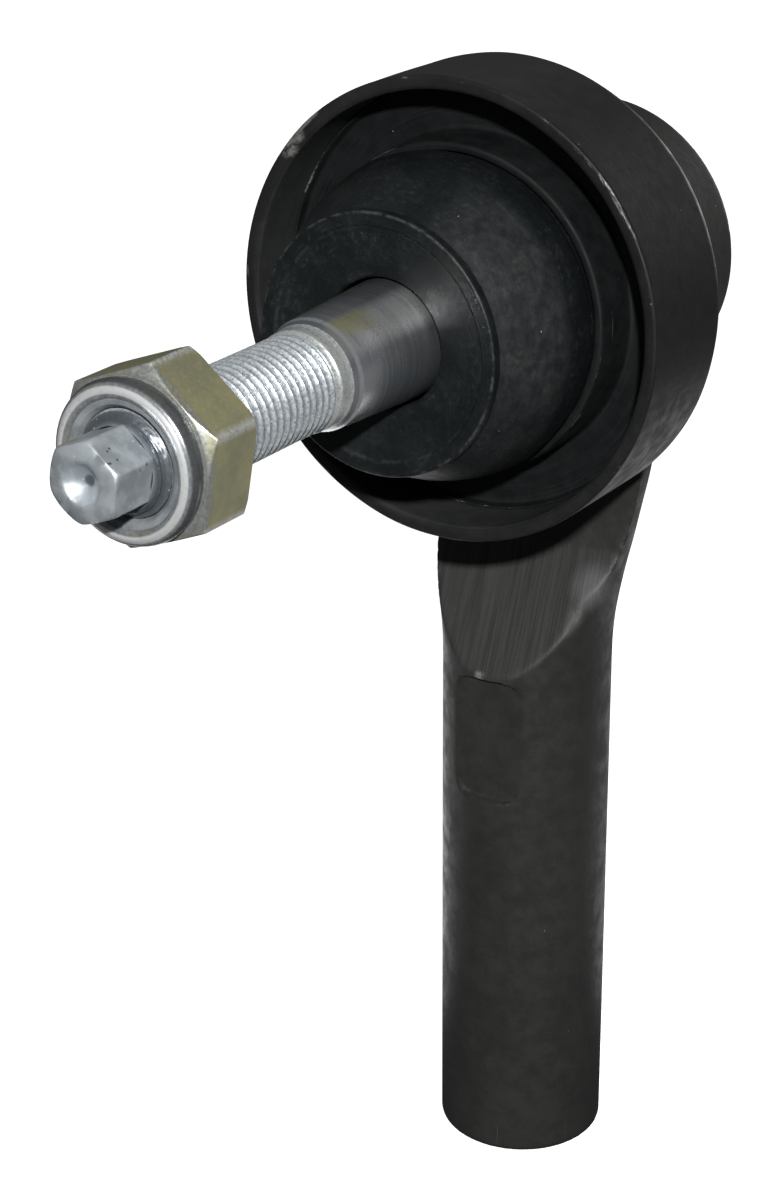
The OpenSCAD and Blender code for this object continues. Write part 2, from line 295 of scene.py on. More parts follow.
def forging_distance(p):
    """Signed distance, in mm, to the outside of the forging: stem, neck and socket body."""
    x, y, z = p[:, 0], p[:, 1], p[:, 2]
    rad = np.sqrt(x * x + y * y)
    zs = [-5, 84, 88, 91, 95.3, 99.5, 103.6, 107.8, 114, 118, 124, 131, 142, 160]
    rs = [STEM_R, STEM_R, STEM_R, 13.75, 14.1, 14.8, 15.6, 16.6, 17.85, 18.7, 19.7, 20.6, 21.7, 22.6]
    fine = np.linspace(-5, 160, 661)
    rf = np.interp(fine, zs, rs)
    kern = np.hanning(25)
    rf = np.convolve(np.pad(rf, 12, mode="edge"), kern / kern.sum(), mode="valid")
    slope = np.gradient(rf, fine)
    rn = np.interp(z, fine, rf)
    sn = np.interp(z, fine, slope)
    neck = (rad - rn) / np.sqrt(1 + sn * sn)
    neck = smax(neck, -z, 1.0)
    neck = smax(neck, z - (BALL_Z - 8), 1.0)
    neck = smax(neck, y - 17, 4.0)
    # leaning facet, with a concave run-out into the upright face below the shield
    norm = sqrt(1 + FACET_LEAN * FACET_LEAN)
    over = (z - (87.5 + FACET_LEAN * (y + STEM_R))) / norm
    behind = 0.5 - y
    relief = smin(over, behind, 3.0)
    round_off = 0.4 + 2.6 * np.exp(-((z - 99.0) / 3.2) ** 2) * np.clip((x - 4) / 5, 0, 1)
    neck = smax(neck, relief, round_off)
    # shallow flats ground on the stem, rounded at their corners
    half, r0, r1 = 6.1, 66.0, 87.1
    flat_y = 12.25
    inside_x = np.abs(x) - half
    inside_z = np.maximum(r0 - z, z - r1)
    corner = np.sqrt(np.maximum(inside_x + 3.5, 0) ** 2 + np.maximum(inside_z + 3.5, 0) ** 2) - 3.5
    for side in (-1, 1):
        neck = smax(neck, smin(side * y - flat_y, -corner, 0.5), 0.35)
    # socket body along Y
    rb = np.sqrt(x * x + (z - BALL_Z) ** 2)
    d = np.stack([rb - BODY_R, np.maximum(y - BODY_Y, -6.0 - y)]) + 1.3
    body = np.minimum(d.max(0), 0) + np.sqrt((np.maximum(d, 0) ** 2).sum(0)) - 1.3
    return smin(neck, body, 6.0)


def surface_of(distance, low, high, cell):
    """Surface nets: one vertex in each cell that the surface crosses, then moved on to it."""
    low = np.array(low, float)
    n = np.ceil((np.array(high, float) - low) / cell).astype(int) + 1
    axes = [low[k] + np.arange(n[k]) * cell for k in range(3)]
    values = np.empty(n, np.float32)
    for i, xv in enumerate(axes[0]):
        yy, zz = np.meshgrid(axes[1], axes[2], indexing="ij")
        pts = np.stack([np.full(yy.size, xv), yy.ravel(), zz.ravel()], -1)
        values[i] = distance(pts).reshape(n[1], n[2])
    inside = values < 0
    count = np.zeros(n - 1, np.int8)
    corners = [(i, j, k) for i in (0, 1) for j in (0, 1) for k in (0, 1)]
    for i, j, k in corners:
        count += inside[i:n[0] - 1 + i, j:n[1] - 1 + j, k:n[2] - 1 + k]
    cells = np.argwhere((count > 0) & (count < 8))
    index = np.full(n - 1, -1, np.int64)
    index[tuple(cells.T)] = np.arange(len(cells))
    total, hits = np.zeros((len(cells), 3)), np.zeros(len(cells))
    for c in corners:
        for axis in range(3):
            if c[axis]:
                continue
            e = list(c)
            e[axis] = 1
            va = values[tuple((cells + c).T)].astype(float)
            vb = values[tuple((cells + e).T)].astype(float)
            cross = (va < 0) != (vb < 0)
            t = np.where(cross, va / np.where(cross, va - vb, 1), 0)
            point = np.array(c, float)[None, :].repeat(len(cells), 0)
            point[:, axis] += t
            total += point * cross[:, None]
            hits += cross
    verts = low + (cells + total / hits[:, None]) * cell
    faces = []
    for axis in range(3):
        u, v = (axis + 1) % 3, (axis + 2) % 3
        a, b = ([slice(0, size) for size in n] for _ in range(2))
        a[axis], b[axis] = slice(0, n[axis] - 1), slice(1, n[axis])
        flip = inside[tuple(a)] != inside[tuple(b)]
        at = np.argwhere(flip)
        keep = (at[:, u] > 0) & (at[:, v] > 0) & (at[:, u] < n[u] - 1) & (at[:, v] < n[v] - 1)
        at = at[keep]
        first = inside[tuple(a)][tuple(at.T)]
        quad = []
        for du, dv in ((1, 1), (0, 1), (0, 0), (1, 0)):
            c = at.copy()
            c[:, u] -= du
            c[:, v] -= dv
            quad.append(index[tuple(c.T)])
        quad = np.stack(quad, -1)
        quad[~first] = quad[~first][:, ::-1]
        faces += quad.tolist()
    h = 0.05  # step for the gradient
    for _ in range(3):
        f = distance(verts)
        g = np.stack([(distance(verts + d) - distance(verts - d)) / (2 * h)
                      for d in np.eye(3) * h], -1)
        step = f / np.maximum((g * g).sum(1), 0.25)
        verts = verts - np.clip(step, -0.3, 0.3)[:, None] * g
    return verts, faces


# --- materials
class Shade:
    """A material's node tree, with short calls for the nodes used here."""

    def __init__(self, name, **constants):
        self.mat = bpy.data.materials.new(name)
        self.mat.use_nodes = True
        self.tree = self.mat.node_tree
        self.tree.nodes.clear()
        self.out = self.tree.nodes.new("ShaderNodeOutputMaterial")
        self.bsdf = self.tree.nodes.new("ShaderNodeBsdfPrincipled")
        self.tree.links.new(self.bsdf.outputs[0], self.out.inputs[0])
        for key, value in constants.items():
            self.put(self.bsdf.inputs[key.replace("_", " ")], value)

    def put(self, socket, value):
        if value is None:
            return
        if isinstance(value, bpy.types.NodeSocket):
            self.tree.links.new(value, socket)
        elif socket.type == "RGBA" and len(value) == 3:
            socket.default_value = (*value, 1)
        else:
            socket.default_value = value

    def node(self, kind, props=None, **ins):
        n = self.tree.nodes.new("ShaderNode" + kind)
        for key, value in (props or {}).items():
            setattr(n, key, value)
        for key, value in ins.items():
            self.put(n.inputs[key.replace("_", " ")], value)
        return n

    def math(self, op, a, b=None):
        n = self.node("Math", {"operation": op})
        self.put(n.inputs[0], a)
        self.put(n.inputs[1], b)
        return n.outputs[0]

    def mul(self, a, b):
        return self.math("MULTIPLY", a, b)

    def add(self, a, b):
        return self.math("ADD", a, b)

    def sub(self, a, b):
        return self.math("SUBTRACT", a, b)

    def vec(self, x, y, z):
        return self.node("CombineXYZ", X=x, Y=y, Z=z).outputs[0]

    def stretch(self, *parts):
        """A vector whose parts are a number, a value, or (value, factor) for their product."""
        return self.vec(*(self.mul(*p) if isinstance(p, tuple) else p for p in parts))

    def vmath(self, op, a, b=None, scale=None):
        n = self.node("VectorMath", {"operation": op})
        self.put(n.inputs[0], a)
        self.put(n.inputs[1], b)
        self.put(n.inputs[3], scale)
        return n.outputs[1] if op in ("DISTANCE", "LENGTH") else n.outputs[0]

    def position(self):
        return self.vmath("SCALE", self.node("TexCoord").outputs["Object"], scale=1 / MM)

    def rest(self):
        return self.node("Attribute", {"attribute_name": "rest_mm"}).outputs["Vector"]

    def polar(self, pos):
        """Radius, distance along the stud, and angle about the stud, in mm and radians."""
        n = self.node("SeparateXYZ", Vector=pos)
        x, y = n.outputs[0], n.outputs[1]
        z = self.sub(n.outputs[2], float(BALL_Z))
        r = self.vmath("LENGTH", self.vec(x, 0.0, z))
        return r, self.mul(y, -1.0), self.math("ARCTAN2", z, x)

    def noise(self, vector, scale, detail=4.0, rough=0.55):
        return self.node("TexNoise", Vector=vector, Scale=scale, Detail=detail,
                         Roughness=rough).outputs[0]

    def cells(self, vector, scale, output="Distance"):
        return self.node("TexVoronoi", Vector=vector, Scale=scale).outputs[output]

    def span(self, value, low, high, to_low=0.0, to_high=1.0):
        """Smooth step from to_low at low to to_high at high; low may be the larger one."""
        n = self.node("MapRange", {"interpolation_type": "SMOOTHSTEP"})
        for i, v in enumerate((value, low, high, to_low, to_high)):
            self.put(n.inputs[i], v)
        return n.outputs[0]

    def mix(self, factor, a, b):
        n = self.node("Mix", {"data_type": "RGBA", "clamp_factor": True})
        self.put(n.inputs[0], factor)
        self.put(n.inputs[6], a)
        self.put(n.inputs[7], b)
        return n.outputs[2]

    def lerp(self, factor, a, b):
        n = self.node("Mix", {"data_type": "FLOAT", "clamp_factor": True})
        self.put(n.inputs[0], factor)
        self.put(n.inputs[2], a)
        self.put(n.inputs[3], b)
        return n.outputs[0]

    def bump(self, height, distance_mm):
        return self.node("Bump", Strength=1.0, Distance=distance_mm * MM, Height=height).outputs[0]

    def near(self, r, s, r0, s0, inner, outer):
        """1 within inner mm of the ring at radius r0 and distance s0, fading to 0 at outer mm."""
        d = self.vmath("DISTANCE", self.vec(r, s, 0.0), (r0, s0, 0.0))
        return self.span(d, outer, inner)

    def specks(self, pos, per_mm, radius, share):
        """Sparse small dots: radius in cells, share of cells that have one."""
        d = self.cells(pos, per_mm)
        pick = self.node("SeparateXYZ", Vector=self.cells(pos, per_mm, "Color")).outputs[0]
        dot = self.span(d, radius, radius * 0.55)
        return self.mul(dot, self.math("LESS_THAN", pick, share))

    def finish(self, color, roughness, normal=None, metallic=None):
        for key, value in (("Base Color", color), ("Roughness", roughness), ("Normal", normal),
                           ("Metallic", metallic)):
            self.put(self.bsdf.inputs[key], value)
        return self.mat


def angle_bump(sh, angle, centre, half_width):
    """1 at an angle about the stud (degrees), fading to 0 at half_width degrees."""
    c = sh.math("COSINE", sh.sub(angle, radians(centre)))
    return sh.span(c, cos(radians(half_width)), cos(radians(half_width * 0.3)))


def strongest(sh, values):
    out = values[0]
    for v in values[1:]:
        out = sh.math("MAXIMUM", out, v)
    return out


BARE = (0.36, 0.36, 0.34)


def paint(name, dark, light, edges=(), spots=(), rough=(0.38, 0.6), grain=1.0, extra=None):
    """Thin black paint over steel. edges are (radius, distance, reach, angles) rings worn through to
    bare steel, where angles are (centre, half width, strength) in degrees; spots are (point, inner,
    outer) bare patches. Some callers place these bare patches as painted highlights. extra adds a zone."""
    sh = Shade(name, Specular_IOR_Level=0.3)
    pos = sh.position()
    r, s, ang = sh.polar(pos)
    big = sh.noise(pos, 0.05, 3.0)
    mid = sh.noise(pos, 0.35, 5.0, 0.62)
    fine = sh.noise(pos, 2.6, 4.0, 0.6)
    tone = sh.add(sh.mul(big, 0.55), sh.mul(mid, 0.45))
    color = sh.mix(sh.span(tone, 0.36, 0.64), dark, light)
    color = sh.mix(sh.span(fine, 0.55, 0.8, 0.0, 0.35), color, tuple(1.7 * c for c in light))
    roughness = sh.lerp(sh.span(mid, 0.3, 0.7), rough[0], rough[1])
    wear_and_glint = []
    broken = sh.noise(pos, 0.9, 6.0, 0.7)
    along = sh.stretch((ang, 9.0), (r, 1.3), (s, 1.3))
    drawn = sh.noise(along, 1.0, 5.0, 0.65)
    for r0, s0, reach, zones in edges:
        where = strongest(sh, [sh.mul(angle_bump(sh, ang, c, w), k) for c, w, k in zones])
        ring = sh.near(r, s, r0, s0, reach * 0.15, reach)
        amount = sh.add(drawn, sh.mul(where, 0.25))
        wear_and_glint.append(sh.mul(ring, sh.span(amount, 0.62, 0.8)))
    for point, inner, outer in spots:
        d = sh.vmath("DISTANCE", pos, point)
        wear_and_glint.append(sh.mul(sh.span(d, outer, inner), sh.span(broken, 0.38, 0.62)))
    wear_and_glint.append(sh.mul(sh.specks(pos, 0.33, 0.05, 0.16), 0.8))
    upright = sh.noise(sh.vmath("MULTIPLY", pos, (2.2, 2.2, 0.1)), 1.0, 2.0, 0.5)
    line = sh.span(upright, 0.72, 0.78)
    wear_and_glint.append(sh.mul(sh.mul(line, sh.span(big, 0.52, 0.66)), 0.14))
    wear_and_glint = strongest(sh, wear_and_glint)
    height = sh.add(sh.mul(sh.noise(pos, 0.8, 4.0), 0.7 * grain), sh.mul(fine, 0.12))
    if extra:
        color, roughness, height = extra(sh, pos, color, roughness, height)
    color = sh.mix(wear_and_glint, color, BARE)
    roughness = sh.lerp(wear_and_glint, roughness, 0.42)
    normal = sh.bump(sh.sub(height, sh.mul(wear_and_glint, 0.5)), 0.06)
    metal = sh.mul(wear_and_glint, 0.75)
    return sh.finish(color, roughness, normal, metal)


def milled_zone(sh, pos, color, roughness, height):
    """Upright milling streaks on the leaning facet and the upright face above it, and a painted
    highlight on the facet's rounded right corner.
    """
    n = sh.node("SeparateXYZ", Vector=pos)
    x, y, z = n.outputs
    plane = sh.sub(sh.sub(z, sh.mul(y, FACET_LEAN)), 108.32)
    on_facet = sh.span(sh.math("ABSOLUTE", plane), 0.9, 0.35)
    zone = sh.mul(on_facet, sh.span(z, 87.3, 88.6))
    across = sh.add(x, sh.mul(z, 0.11))
    lines = sh.noise(sh.stretch((across, 1.1), (z, 0.035), 2.0), 1.0, 5.0, 0.68)
    thin = sh.noise(sh.stretch((across, 5.0), (z, 0.07), 3.0), 1.0, 3.0, 0.7)
    both = sh.add(sh.mul(lines, 0.65), sh.mul(thin, 0.35))
    tone = sh.mix(sh.span(both, 0.36, 0.66), (0.026, 0.026, 0.025), (0.058, 0.058, 0.056))
    color = sh.mix(sh.mul(zone, 0.85), color, tone)
    # painted highlight: a lighter patch on the facet's rounded right corner
    corner = sh.span(sh.vmath("DISTANCE", pos, (13.4, -3.6, 102.6)), 5.0, 1.0)
    corner = sh.mul(corner, sh.span(both, 0.3, 0.6, 0.3, 1.0))
    color = sh.mix(sh.mul(corner, 0.8), color, (0.13, 0.13, 0.13))
    roughness = sh.lerp(zone, roughness, 0.5)
    height = sh.add(height, sh.mul(sh.mul(both, zone), 1.1))
    return color, roughness, height


def cup_zone(sh, pos, color, roughness, height):
    """Inside of the cup: duller, with faint turned lines; the shield's right and upper-right side
    carries painted shade.
    """
    r, s, ang = sh.polar(pos)
    inside = sh.mul(sh.span(r, SHIELD_R - 1.2, SHIELD_R - 1.8), sh.span(s, 7.6, 8.0))
    rings = sh.noise(sh.stretch((r, 2.2), (s, 1.6), (ang, 0.6)), 1.0, 4.0, 0.6)
    color = sh.mix(sh.mul(inside, sh.span(rings, 0.4, 0.75)), color, (0.028, 0.034, 0.036))
    rim = sh.mul(sh.span(s, SHIELD_S - 0.5, SHIELD_S - 0.15), 0.7)
    color = sh.mix(rim, color, (0.006, 0.0065, 0.0065))
    # painted shade: the shield's right and upper-right side, towards the key light, is darkened
    side = sh.mul(angle_bump(sh, ang, 28, 55), 0.7)
    color = sh.mix(side, color, (0.007, 0.0075, 0.0072))
    drawn = sh.noise(sh.stretch((ang, 40.0), (s, 0.12), 1.0), 1.0, 3.0, 0.6)
    height = sh.add(height, sh.mul(drawn, 0.35))
    return color, roughness, height


def ring_zone(sh, pos, color, roughness, height):
    """Fine turned scratches around the retainer's visible shoulder."""
    r, _, ang = sh.polar(pos)
    turned = sh.noise(sh.stretch((r, 3.2), (ang, 1.2), 5.0), 1.0, 4.0, 0.65)
    color = sh.mix(sh.span(turned, 0.45, 0.75, 0.0, 0.35), color, (0.02, 0.022, 0.0225))
    return color, roughness, height


def rubber(name):
    """Moulded black rubber with a soft bloom, mould rings, dust and a few scuffs, plus painted light:
    dust and painted sheen on the dome's side towards the key light, a painted reflection on the face
    beside the stud, and painted shade on the side wall.
    """
    sh = Shade(name, Specular_IOR_Level=0.3)
    pos = sh.rest()
    r, s, ang = sh.polar(pos)
    cloud = sh.noise(pos, 0.16, 5.0, 0.62)
    dust = sh.noise(pos, 1.1, 6.0, 0.7)
    rings = sh.noise(sh.stretch((r, 1.7), (s, 1.7), (ang, 0.5)), 1.0, 4.0, 0.6)
    color = sh.mix(sh.span(cloud, 0.35, 0.7), (0.0056, 0.0074, 0.008), (0.0115, 0.0138, 0.0143))
    bloom_and_sheen = sh.mul(sh.span(dust, 0.46, 0.76), sh.span(sh.add(cloud, rings), 0.9, 1.25))
    dome = sh.mul(sh.span(s, 30.8, 33.6), sh.span(s, 43.4, 42.4))
    # dust and painted sheen: the dome's haze is laid only on the side towards the key light
    lit = sh.mul(dome, angle_bump(sh, ang, 15, 62))
    swept = sh.noise(sh.stretch((ang, 9.0), (s, 0.55), 2.0), 1.0, 5.0, 0.65)
    dust_and_sheen = sh.mul(lit, sh.span(swept, 0.34, 0.7, 0.08, 0.34))
    # painted reflection: a light streak on the face beside the stud, where the stud throws the key
    # light back onto the rubber
    patch_mask = sh.mul(angle_bump(sh, ang, 33, 15), sh.mul(sh.span(r, 17.5, 9.5), sh.span(s, 42.6, 43.2)))
    dust_and_sheen = strongest(sh, [dust_and_sheen, sh.mul(patch_mask, 0.7)])
    # the bloom from here on also carries the painted sheen and the painted reflection
    bloom_and_sheen = sh.add(sh.mul(bloom_and_sheen, 0.4), dust_and_sheen)
    # painted shade: the boot's side wall below the dome is darkened
    painted_shade_flank = sh.mul(sh.span(s, 32.6, 30.4), 0.5)
    color = sh.mix(painted_shade_flank, color, (0.004, 0.005, 0.0055))
    color = sh.mix(bloom_and_sheen, color, (0.068, 0.07, 0.07))
    lip = strongest(sh, [sh.near(r, s, 18.95, BOOT_S, 0.05, 0.4),
                         sh.near(r, s, 16.7, BOOT_S - 0.1, 0.1, 0.5)])
    lip = sh.mul(lip, sh.span(sh.noise(pos, 0.7, 4.0, 0.7), 0.42, 0.62))
    color = sh.mix(sh.mul(lip, 0.4), color, (0.1, 0.105, 0.105))
    grit = sh.specks(pos, 0.42, 0.055, 0.2)
    color = sh.mix(grit, color, (0.42, 0.42, 0.4))
    roughness = sh.lerp(sh.span(dust, 0.3, 0.75), 0.4, 0.58)
    height = sh.add(sh.mul(rings, 0.5), sh.mul(sh.noise(pos, 1.6, 4.0), 0.5))
    return sh.finish(color, roughness, sh.bump(height, 0.05))


def bare_steel(name):
    """Ground taper: fine turned lines that stretch the highlight along the stud, with stains, painted
    highlights, and painted shade towards the boot.
    """
    sh = Shade(name, Specular_IOR_Level=0.5, Anisotropic=0.75)
    tangent = sh.node("Tangent", {"direction_type": "RADIAL", "axis": "Y"})
    sh.put(sh.bsdf.inputs["Tangent"], tangent.outputs[0])
    pos = sh.position()
    r, s, ang = sh.polar(pos)
    turned = sh.noise(sh.stretch((s, 3.0), (ang, 0.35), r), 1.0, 4.0, 0.6)
    cloud = sh.noise(pos, 0.22, 4.0, 0.6)
    fleck = sh.noise(pos, 2.4, 4.0, 0.75)
    color = sh.mix(sh.span(turned, 0.3, 0.7), (0.52, 0.54, 0.56), (0.78, 0.81, 0.84))
    color = sh.mix(sh.span(cloud, 0.46, 0.64, 0.0, 0.5), color, (0.5, 0.57, 0.66))
    # painted shade: the taper is darker towards the boot end
    color = sh.mix(sh.span(s, 46.0, 60.0, 0.62, 0.0), color, (0.17, 0.18, 0.2))
    # painted highlight: a near-white band at about 50 degrees along the taper
    painted_highlight_band = sh.mul(angle_bump(sh, ang, 50, 27), sh.span(turned, 0.25, 0.5, 0.7, 1.0))
    color = sh.mix(painted_highlight_band, color, (1.0, 1.0, 1.0))
    straw = sh.mul(angle_bump(sh, ang, 61, 17), sh.near(r, s, 8.2, 57.2, 1.8, 5.2))
    color = sh.mix(sh.mul(straw, sh.span(cloud, 0.3, 0.6, 0.35, 1.0)), color, (0.95, 0.92, 0.5))
    patch_mask = sh.noise(sh.stretch((s, 0.8), (ang, 0.8), 4.0), 1.0, 4.0, 0.6)
    color = sh.mix(sh.span(patch_mask, 0.5, 0.75, 0.0, 0.35), color, (0.25, 0.26, 0.28))
    # painted highlight: a near-white patch at about -8 degrees towards the chamfer
    bright = sh.mul(angle_bump(sh, ang, -8, 30), sh.span(s, 54.0, 58.5, 0.0, 0.7))
    color = sh.mix(bright, color, (0.97, 0.99, 1.0))
    pits = sh.specks(pos, 0.9, 0.12, 0.12)
    color = sh.mix(sh.mul(pits, 0.6), color, (0.1, 0.1, 0.1))
    color = sh.mix(sh.mul(sh.span(s, 60.9, 61.2), 0.4), color, (0.25, 0.26, 0.25))
    # painted highlight: a glint along the chamfer's edge
    edge = sh.mul(sh.near(r, s, 7.98, 60.8, 0.2, 0.6), sh.span(fleck, 0.32, 0.5))
    color = sh.mix(edge, color, (0.95, 0.97, 1.0))
    roughness = sh.lerp(sh.span(cloud, 0.3, 0.7), 0.23, 0.33)
    height = sh.add(sh.mul(turned, 0.5), sh.mul(fleck, 0.1))
    return sh.finish(color, roughness, sh.bump(height, 0.012), 0.88)


def stud_zinc(name):
    """Zinc plate on the thread, bright with painted glints and with painted shade in the roots, and
    duller on the tip, with dark flecks and painted shade at the dimple's bottom.
    """
    sh = Shade(name, Specular_IOR_Level=0.5)
    pos = sh.position()
    r, s, _ = sh.polar(pos)
    tip = sh.mul(sh.span(s, 103.2, 103.5), sh.span(r, 6.0, 5.8))
    cloud = sh.noise(pos, 0.22, 4.0, 0.6)
    fleck = sh.noise(pos, 2.4, 4.0, 0.75)
    zinc = sh.mix(sh.span(fleck, 0.36, 0.62), (0.46, 0.5, 0.53), (0.74, 0.79, 0.82))
    # painted shade: the thread roots are darkened
    root = sh.span(r, 6.8, 6.3)
    zinc = sh.mix(sh.mul(root, 0.75), zinc, (0.14, 0.16, 0.18))
    zinc = sh.mix(sh.mul(sh.span(s, 101.2, 101.9), 0.85), zinc, (0.11, 0.125, 0.14))
    band = sh.mul(sh.span(s, 65.4, 64.8), sh.span(s, 61.9, 62.4))
    zinc = sh.mix(sh.mul(band, 0.5), zinc, (0.62, 0.63, 0.55))
    dull = sh.mix(sh.span(cloud, 0.38, 0.62), (0.39, 0.425, 0.45), (0.58, 0.63, 0.66))
    dull = sh.mix(sh.span(fleck, 0.6, 0.78, 0.0, 0.7), dull, (0.72, 0.75, 0.66))
    color = sh.mix(tip, zinc, dull)
    # painted shade: darker at the bottom of the dimple
    centre = sh.mul(tip, sh.span(r, 0.95, 0.5, 0.0, 0.9))
    color = sh.mix(centre, color, (0.1, 0.115, 0.13))
    color = sh.mix(sh.mul(tip, sh.specks(pos, 0.8, 0.2, 0.3)), color, (0.12, 0.14, 0.16))
    # painted glints: sparse near-white specks on the zinc
    painted_glint = sh.specks(pos, 1.1, 0.16, 0.34)
    color = sh.mix(sh.mul(painted_glint, 0.8), color, (0.95, 0.97, 1.0))
    roughness = sh.lerp(tip, sh.span(fleck, 0.3, 0.7, 0.26, 0.44), 0.45)
    return sh.finish(color, roughness, sh.bump(fleck, 0.022), 0.6)


def nut_metal(name):
    """Zinc plate with a khaki cast on the flats and bright worn edges and collar, and a painted
    highlight along the collar's crest.
    """
    sh = Shade(name)
    pos = sh.position()
    r, s, _ = sh.polar(pos)
    cloud = sh.noise(pos, 0.14, 4.0, 0.6)
    fleck = sh.noise(pos, 1.8, 5.0, 0.65)
    flat = sh.mix(sh.span(cloud, 0.38, 0.62), (0.345, 0.335, 0.215), (0.45, 0.43, 0.235))
    flat = sh.mix(sh.span(fleck, 0.5, 0.78, 0.0, 0.5), flat, (0.54, 0.53, 0.4))
    collar = sh.span(s, NUT_S0 + 9.2, NUT_S0 + 9.7)
    chamfer = sh.mul(sh.span(s, NUT_S0 + 8.1, NUT_S0 + 8.5), sh.span(r, 12.75, 12.2))
    bright = sh.mix(sh.span(fleck, 0.35, 0.7), (0.27, 0.29, 0.3), (0.46, 0.48, 0.49))
    bright = sh.mix(sh.span(cloud, 0.5, 0.66, 0.0, 0.75), bright, (0.36, 0.35, 0.22))
    outside = sh.mul(sh.span(r, 10.25, 10.55), sh.span(s, NUT_S0 + 9.6, NUT_S0 + 9.8))
    bright = sh.mix(sh.mul(outside, 0.8), bright, (0.08, 0.085, 0.085))
    # painted highlight: a white line along the collar's crest
    crest = sh.mul(sh.near(r, s, 9.6, NUT_S0 + 12.4, 0.36, 0.66), sh.span(fleck, 0.28, 0.5, 0.75, 1.0))
    bright = sh.mix(crest, bright, (1.0, 1.0, 1.0))
    corner = sh.span(r, 12.15, 12.6)
    color = sh.mix(sh.math("MAXIMUM", collar, sh.mul(chamfer, 0.75)), flat, bright)
    color = sh.mix(sh.mul(corner, sh.span(fleck, 0.3, 0.6, 0.2, 0.9)), color, (0.7, 0.72, 0.7))
    roughness = sh.lerp(collar, sh.span(fleck, 0.3, 0.7, 0.36, 0.5), 0.27)
    height = sh.add(sh.mul(fleck, 0.5), sh.mul(cloud, 0.4))
    return sh.finish(color, roughness, sh.bump(height, 0.025), 0.6)


def plain_metal(name, dark, light, rough=(0.25, 0.42)):
    """Turned or rolled steel with faint lines about the stud's axis."""
    sh = Shade(name)
    pos = sh.position()
    r, s, ang = sh.polar(pos)
    cloud = sh.noise(pos, 0.3, 4.0, 0.6)
    lines = sh.noise(sh.stretch((r, 4.0), (s, 4.0), (ang, 0.6)), 1.0, 3.0, 0.6)
    color = sh.mix(sh.span(sh.add(sh.mul(cloud, 0.5), sh.mul(lines, 0.5)), 0.35, 0.65), dark, light)
    roughness = sh.span(lines, 0.3, 0.7, rough[0], rough[1])
    return sh.finish(color, roughness, sh.bump(lines, 0.03), 1.0)


def polymer(name, dark, light, rough=(0.4, 0.55)):
    """Moulded polymer, slightly uneven, with a fine moulded grain."""
    sh = Shade(name)
    pos = sh.position()
    cloud = sh.noise(pos, 0.25, 4.0, 0.6)
    grain = sh.noise(pos, 3.5, 3.0, 0.6)
    color = sh.mix(sh.span(cloud, 0.35, 0.65), dark, light)
    roughness = sh.span(grain, 0.3, 0.7, rough[0], rough[1])
    return sh.finish(color, roughness, sh.bump(grain, 0.03))


# --- pieces
def wobble(seed, radial, axial=0.0, cell=9.0):
    """A shape function that makes pressed or moulded walls slightly uneven."""
    def shape(r, s, a):
        return (r + noise_at(r, s, a, seed, cell) * radial,
                s + noise_at(r, s, a, seed + 7, cell) * axial)
    return shape


def thread_depth(s, a, depth, crest=0.16, root=0.2):
    """How far a right-hand thread is cut below its crest at distance s and angle a."""
    u = np.mod(s / PITCH - a / (2 * pi), 1.0)
    t = np.abs(u - 0.5) * 2
    return depth * np.clip((1 - crest - t) / (1 - crest - root), 0, 1)


def make_housing():
    verts, faces = surface_of(forging_distance, (-25.3, -16.2, -1.6), (25.3, 24.2, BALL_Z + 25.4), 0.56)
    b = Build()
    b.add(verts, faces)
    obj = b.object("forged_housing", 40)
    cavity = Build()
    cavity.lathe(soften([
        (0, -26), (20.4, -26), (19.4, -BODY_Y + 0.5), (19.4, -21.25), (20.6, -21.25), (20.6, -20.05),
        (19.4, -20.05), (19.4, -17.3), (16.8, -17.3), (16.8, 9), (0, 9)]), segs=144, closed=False)
    bore = Build()
    bore.lathe(soften([(0, -2), (11.4, -2), (9.25, 0.35), (9.25, 61), (0, 66)]),
               stem_frame, 128, closed=False)
    cut(obj, [cavity.object("cutter_a"), bore.object("cutter_b")], 40)
    extra = Build()
    # spigot in front of the body, with the groove for the boot's bead and the ball's mouth
    extra.lathe(soften([
        (16.8, 5.4), (20, 5.4), (20, 10.5, 0.3), (18, 10.5, 0.2), (18, 14.5, 0.2), (19.4, 14.5, 0.3),
        (19.4, 16, 0.5), (15.43, 16, 0.4), (11.38, 7.4, 0.4), (16.8, 7.4)], closed=True), segs=128)
    # female thread in the stem
    z = np.arange(0.05, 60.01, 0.125)
    a = np.linspace(0, 2 * pi, 128, endpoint=False)
    zz, aa = np.meshgrid(z, a, indexing="ij")
    inner = BORE_R + thread_depth(-zz, aa, 0.8)
    inner = np.maximum(inner, 9.25 - zz * 0.9)
    outer_r, outer_z = rows_of(np.array([(9.45, 60.0), (9.45, 0.05)]), len(a))
    extra.field(np.concatenate([inner, outer_r]), np.concatenate([zz, outer_z]), a, stem_frame,
                wrap_rows=True)
    join(obj, extra.mesh("spigot_and_thread", 40))
    settle(obj, "housing", "forging", PAINT_FORGING, "housing")


def turned_piece(name, outline, segs, shape, *finish):
    """One closed outline turned about the stud's axis, with the body, finish and node; the slot that it
    is given is not used.
    """
    b = Build()
    b.lathe(outline, segs=segs, shape=shape)
    settle(b.object(name), *finish)


def join(obj, mesh):
    """Adds a finished mesh to an object, keeping its sharp edges."""
    bm = bmesh.new()
    bm.from_mesh(obj.data)
    bm.from_mesh(mesh)
    bm.to_mesh(obj.data)
    bm.free()
    bpy.data.meshes.remove(mesh)


